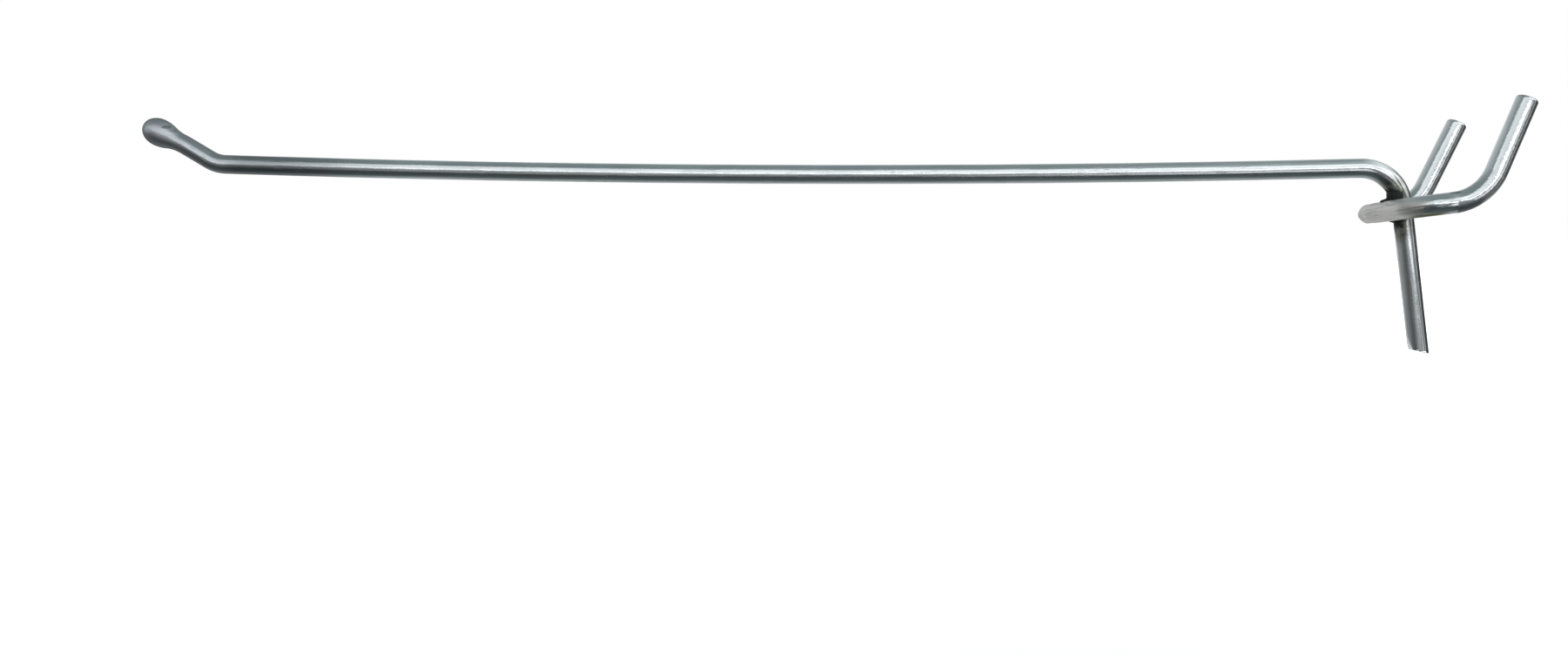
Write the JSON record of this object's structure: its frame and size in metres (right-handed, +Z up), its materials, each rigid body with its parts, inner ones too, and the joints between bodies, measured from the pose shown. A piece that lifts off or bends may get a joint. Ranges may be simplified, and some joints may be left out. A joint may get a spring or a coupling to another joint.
{
  "type": "pegboard hook",
  "caption": "Straight welded-wire pegboard hook: a long ball-ended arm on a short leg, with a two-pronged back staple that hangs in neighbouring board holes.",
  "frame": {"origin": "on the board's front face, where the down-leg's back touches it, midway between the two board holes and level with the middle of the staple's wire", "axes": "+X into the board, +Y to the left as one faces the board, +Z up; the arm points along -X and rises a little"},
  "size_m": [0.2071, 0.0286, 0.0599],
  "materials": {
    "zinc_wire": "bright zinc plate over drawn steel wire, lightly scuffed along its length",
    "weld": "dark heat-stained weld metal, rough"
  },
  "bodies": {
    "root": {"peg_wire": "zinc_wire", "back_staple": "zinc_wire", "weld_flash": "weld"}
  },
  "joints": []
}
